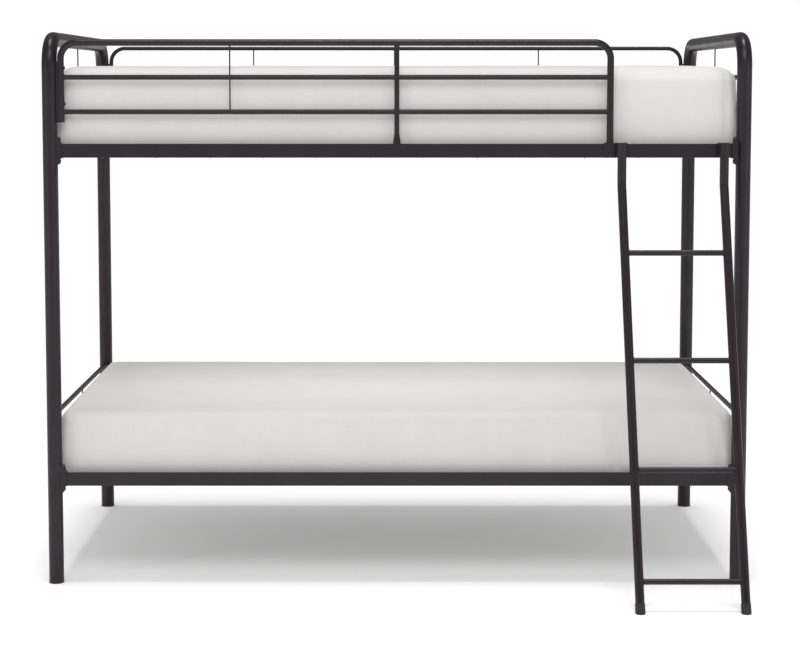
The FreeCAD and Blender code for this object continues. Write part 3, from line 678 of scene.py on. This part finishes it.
def fastener_line(points):
    """Seat, outward axis, head radius and height, and shank radius and length, of a screw's solid."""
    low, high = box_of(points)
    spans = high - low
    axis_index = max(range(3), key=lambda i: spans[i])
    across = [i for i in range(3) if i != axis_index]
    centre = middle_of((low, high))
    depth = points[:, axis_index]
    radial = np.hypot(points[:, across[0]] - centre[across[0]], points[:, across[1]] - centre[across[1]])
    head_r = radial.max()
    head = depth[radial > head_r * 0.98]
    at_high = abs(head.max() - high[axis_index]) < SAME_PLACE
    axis = Vector([1.0 if i == axis_index else 0.0 for i in range(3)]) * (1 if at_high else -1)
    seat = centre.copy()
    seat[axis_index] = head.min() if at_high else head.max()
    shank_end = (low if at_high else high)[axis_index]
    shank_r = radial[np.abs(depth - shank_end) < SAME_PLACE].max()
    head_height = abs(head.max() - head.min())
    return seat, axis, head_r, head_height, shank_r, spans[axis_index] - head_height


def smooth_by_angle(piece, degrees=35):
    """Keeps creases sharp: edges steeper than an angle are marked on the finished mesh."""
    bm = bmesh.new()
    bm.from_mesh(piece.data)
    limit = math.radians(degrees)
    for edge in bm.edges:
        if len(edge.link_faces) == 2 and edge.calc_face_angle(0) > limit:
            edge.smooth = False
    bm.to_mesh(piece.data)
    bm.free()


def finish_fasteners(bm, node):
    """The new fasteners take the place of the CAD ones."""
    bmesh.ops.recalc_face_normals(bm, faces=bm.faces)
    piece = add_piece(f"{node}_domed", bm, "fasteners")
    smooth_by_angle(piece)
    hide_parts(node)


def detailed_bolts():
    for node in ("rail_bolts", "guard_post_bolts", "ladder_bolts"):
        bm = bmesh.new()
        for solid in solids_of(node):
            seat, axis, head_r, head_h, shank_r, length = fastener_line(solid)
            socket_head(bm, seat, axis, head_r, head_h, shank_r, length)
        finish_fasteners(bm, node)


RIVET_SIDES = 20


def detailed_rivets():
    """Blind rivets: a shallow dome with the open mouth of the pin in the middle."""
    bm = bmesh.new()
    for solid in solids_of("slat_rivets"):
        seat, axis, head_r, head_h, shank_r, length = fastener_line(solid)
        shank = [(0, -length), (shank_r, -length), (shank_r, 0), (head_r, 0)]
        turns = [math.radians(degrees) for degrees in (20, 40, 58, 70)]
        dome = [(head_r * math.cos(turn), head_h * math.sin(turn)) for turn in turns]
        pin_r = shank_r * 0.32
        mouth = [(pin_r, head_h * 0.97), (pin_r, head_h * 0.55), (0, head_h * 0.5)]
        lathe(bm, seat, axis, shank + dome + mouth, RIVET_SIDES)
    finish_fasteners(bm, "slat_rivets")


# ---------------------------------------------------------------- mattresses
SPACING = 13.0 * MM         # of the cover's mesh before it is subdivided
ROUNDING_STEPS = 6
END_REACH = 12.0 * MM       # the cover swells past the CAD mattress's length to the end bars
SIDE_BULGE = 4.0 * MM
RIM_WIDTH = 0.15            # where the top falls towards its edge
SWELL_BAND = 0.06           # depth of the sides that swells with them
CLOTH_FRAMES = 20
CLOTH_REACH = 2.2 * MM      # the most that a wrinkle of the simulation may stand out
EVEN_ROUNDS = 90            # smoothing that separates the wrinkles from the pillow shape
RESTING_SHARE = 0.14        # the lowest part of the cover, which flattens on the slats
CLOTH_SETTINGS = {
    "quality": 4,
    "mass": 0.25,
    "tension_stiffness": 12,
    "compression_stiffness": 12,
    "shear_stiffness": 4,
    "bending_stiffness": 0.6,
    "use_pressure": True,
    "uniform_pressure_force": 1.2,
    "shrink_min": -0.035,       # the cloth is a little too large
}


def smoothstep(value):
    value = np.clip(value, 0, 1)
    return value * value * (3 - 2 * value)


def height_share(points, half):
    """Height of each point, from 0 at the bottom of the block to 1 at its top."""
    return np.clip((points[:, Z] + half[Z]) / (2 * half[Z]), 0, 1)


def axis_stations(half, rounding):
    """Stations along one edge of a block, closer together where it is rounded."""
    inner = half - rounding
    count = max(2, round(2 * inner / SPACING))
    flat = [-inner + 2 * inner * i / count for i in range(count + 1)]
    turns = [math.radians(45 * i / ROUNDING_STEPS) for i in range(1, ROUNDING_STEPS + 1)]
    corner = [rounding * math.tan(turn) for turn in turns]
    return [-inner - c for c in reversed(corner)] + flat + [inner + c for c in corner]


def rounded_block(half, top_rounding, bottom_rounding):
    """A closed quad mesh of a box, centred on the origin, its edges rounded more at the top than below."""
    bm = bmesh.new()
    stations = [axis_stations(h, top_rounding) for h in half]
    for axis in range(3):
        a, b = [i for i in range(3) if i != axis]
        for sign in (-1, 1):
            rows = []
            for s in stations[a]:
                row = []
                for t in stations[b]:
                    place = [0.0, 0.0, 0.0]
                    place[axis], place[a], place[b] = sign * half[axis], s, t
                    row.append(bm.verts.new(place))
                rows.append(row)
            for r in range(len(rows) - 1):
                for c in range(len(rows[r]) - 1):
                    bm.faces.new((rows[r][c], rows[r + 1][c], rows[r + 1][c + 1], rows[r][c + 1]))
    bmesh.ops.remove_doubles(bm, verts=bm.verts, dist=1e-6)
    for vert in bm.verts:
        share = (vert.co.z + half[Z]) / (2 * half[Z])
        blend = float(smoothstep((share - 0.45) / 0.5))
        rounding = bottom_rounding + (top_rounding - bottom_rounding) * blend
        core = Vector([min(max(c, rounding - h), h - rounding) for c, h in zip(vert.co, half)])
        vert.co = core + (vert.co - core).normalized() * rounding
    bmesh.ops.recalc_face_normals(bm, faces=bm.faces)
    return bm


def mattress_form(points, half, crown, rises):
    """A nearly flat top that falls towards its rim, and foam sides that swell at mid-height.

    crown is the fall at the rim, and rises are the lifts of the top at its front and back."""
    shaped = points.copy()
    x, y = points[:, X], points[:, Y]
    from_side = half[Y] - np.abs(y)
    from_end = half[X] - np.abs(x)
    share = height_share(points, half)
    fall = crown * (1 - smoothstep(np.minimum(from_side, from_end) / RIM_WIDTH))
    towards_back = np.clip(y / (2 * half[Y]) + 0.5, 0, 1)
    lift = rises[0] + (rises[1] - rises[0]) * towards_back
    shaped[:, Z] += (lift - fall) * smoothstep((share - 0.45) / 0.55)
    belly = np.sin(np.pi * share) ** 0.25
    at_side = smoothstep(1 - from_side / SWELL_BAND)
    at_end = smoothstep(1 - from_end / SWELL_BAND)
    middle_x = 1 - 0.6 * smoothstep((np.abs(x) / half[X] - 0.85) / 0.15)
    middle_y = 1 - 0.25 * smoothstep((np.abs(y) / half[Y] - 0.80) / 0.20)
    shaped[:, Y] += np.sign(y) * at_side * middle_x * SIDE_BULGE * belly
    shaped[:, X] += np.sign(x) * at_end * middle_y * END_REACH * (0.75 + 0.25 * belly)
    return shaped


def neighbour_mean(values, edges, degree):
    total = np.zeros_like(values)
    for k in range(values.shape[1]):
        total[:, k] = np.bincount(edges[:, 0], values[edges[:, 1], k], len(values))
        total[:, k] += np.bincount(edges[:, 1], values[edges[:, 0], k], len(values))
    return total / degree[:, None]


def smoothed(values, edges, degree, rounds):
    for _ in range(rounds):
        values = 0.5 * values + 0.5 * neighbour_mean(values, edges, degree)
    return values


def cloth_moves(piece):
    """Runs the cover as pressurised cloth, and returns how far each of its points went."""
    before = np.array([v.co for v in piece.data.vertices], float)
    cloth = piece.modifiers.new("cover", "CLOTH")
    for setting, value in CLOTH_SETTINGS.items():
        setattr(cloth.settings, setting, value)
    cloth.settings.effector_weights.gravity = 0
    cloth.collision_settings.use_collision = False
    cloth.collision_settings.use_self_collision = False
    cloth.point_cache.frame_start = 1
    cloth.point_cache.frame_end = CLOTH_FRAMES
    scene = bpy.context.scene
    for number in range(1, CLOTH_FRAMES + 1):
        scene.frame_set(number)
    settled = piece.evaluated_get(bpy.context.evaluated_depsgraph_get())
    after = np.array([v.co for v in settled.data.vertices], float)
    piece.modifiers.remove(cloth)
    scene.frame_set(1)
    return after - before


def wrinkles(piece, points, normals, edges, degree, half):
    """The fine part of the cloth's moves along its normals, strongest low down and at the ends."""
    moved = cloth_moves(piece)
    fine = moved - smoothed(moved, edges, degree, EVEN_ROUNDS)
    along = (fine * normals).sum(1)
    size = np.percentile(np.abs(along), 98) + 1e-9
    along = np.tanh(along / size) * CLOTH_REACH
    low_edge = smoothstep((0.42 - height_share(points, half)) / 0.42)
    ends = smoothstep((np.abs(points[:, X]) / half[X] - 0.8) / 0.2)
    upright = 1 - np.abs(normals[:, Z])
    gain = 0.25 + 0.5 * low_edge * upright + 0.6 * ends * upright
    return normals * (along * gain)[:, None]


def cover_folds(points, half, folds):
    """Soft slanting folds of the cover on the front side.

    Each has its place at the top and bottom, as shares of half the length, its depth and its width."""
    push = np.zeros(len(points))
    share = height_share(points, half)
    on_front = smoothstep(((-points[:, Y]) - half[Y] + 0.05) / 0.05)
    for x_top, x_bottom, depth, width in folds:
        line = (x_bottom + (x_top - x_bottom) * share) * half[X]
        away = (points[:, X] - line) / width
        fade = smoothstep((share - 0.02) / 0.25) * smoothstep((1.0 - share) / 0.2)
        push += depth * fade * (-np.exp(-away ** 2) + 0.55 * np.exp(-((away - 1.7) ** 2)))
    return push * on_front


def drift_noise(points, scale, seed):
    offset = Vector((seed * 13.1, seed * 7.7, seed * 3.3))
    return np.array([noise.noise(Vector(p * scale) + offset) for p in points])


def slack(points, normals, half, folds, seed):
    """Slow unevenness of the cover, in metres along its normals."""
    drape = drift_noise(points, np.array((9.0, 9.0, 2.0)), seed) * (1 - np.abs(normals[:, Z]))
    streak = drift_noise(points, np.array((2.2, 11.0, 4.0)), seed + 1) * np.clip(normals[:, Z], 0, 1)
    billow = drift_noise(points, np.array((2.6, 2.6, 2.6)), seed + 2)
    relief = drape * 1.3 * MM + streak * 1.3 * MM + billow * 1.2 * MM
    return relief + cover_folds(points, half, folds)


def make_mattress(level, roundings, crown, rises, folds, seed):
    """A fitted cover in place of a CAD mattress. roundings are the radii of its top and bottom edges."""
    low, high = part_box(f"{level}_mattress")
    centre = middle_of((low, high))
    half = np.array((high - low) / 2)
    bm = rounded_block(half, *roundings)
    mesh = bpy.data.meshes.new(f"{level}_mattress_cover")
    bm.to_mesh(mesh)
    bm.free()
    piece = bpy.data.objects.new(f"{level}_mattress_cover", mesh)
    bpy.context.scene.collection.objects.link(piece)
    points = mattress_form(np.array([v.co for v in mesh.vertices], float), half, crown, rises)
    mesh.vertices.foreach_set("co", points.astype(np.float32).ravel())
    mesh.update()
    edges = np.array([e.vertices[:] for e in mesh.edges])
    degree = np.bincount(edges.ravel(), minlength=len(points)).astype(float)
    normals = np.array([v.normal for v in mesh.vertices], float)
    resting = smoothstep((RESTING_SHARE - height_share(points, half)) / RESTING_SHARE)
    points += wrinkles(piece, points, normals, edges, degree, half)
    relief = slack(points, normals, half, folds, seed)
    points += normals * (relief * (1 - resting))[:, None]
    points[:, Z] = np.maximum(points[:, Z], -half[Z])
    points += np.array(centre)
    mesh.vertices.foreach_set("co", points.astype(np.float32).ravel())
    mesh.materials.append(MATERIALS["mattress_cover"])
    mesh.shade_smooth()
    mesh.update()
    subdivision = piece.modifiers.new("soft", "SUBSURF")
    subdivision.levels = subdivision.render_levels = 1
    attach(piece, f"{level}_mattress")
    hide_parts(f"{level}_mattress")


# ---------------------------------------------------------------- the scene
bpy.context.scene.view_settings.view_transform = "Standard"
make_camera()
make_world()
make_stage(pale_floor("floor_look"))
make_lights()

paint_frame()
end_frame_welds()
guard_welds()
rail_welds()
rung_welds()
seam_rings()
detailed_bolts()
detailed_rivets()
make_mattress("upper", roundings=(46 * MM, 16 * MM), crown=4 * MM, rises=(0, 0),
              folds=[(0.97, 0.975, 3 * MM, 9 * MM)], seed=1)
make_mattress("lower", roundings=(21 * MM, 14 * MM), crown=4 * MM, rises=(0, 10 * MM),
              folds=[(0.630, 0.673, 9 * MM, 13 * MM), (0.938, 0.980, 8 * MM, 12 * MM)], seed=5)
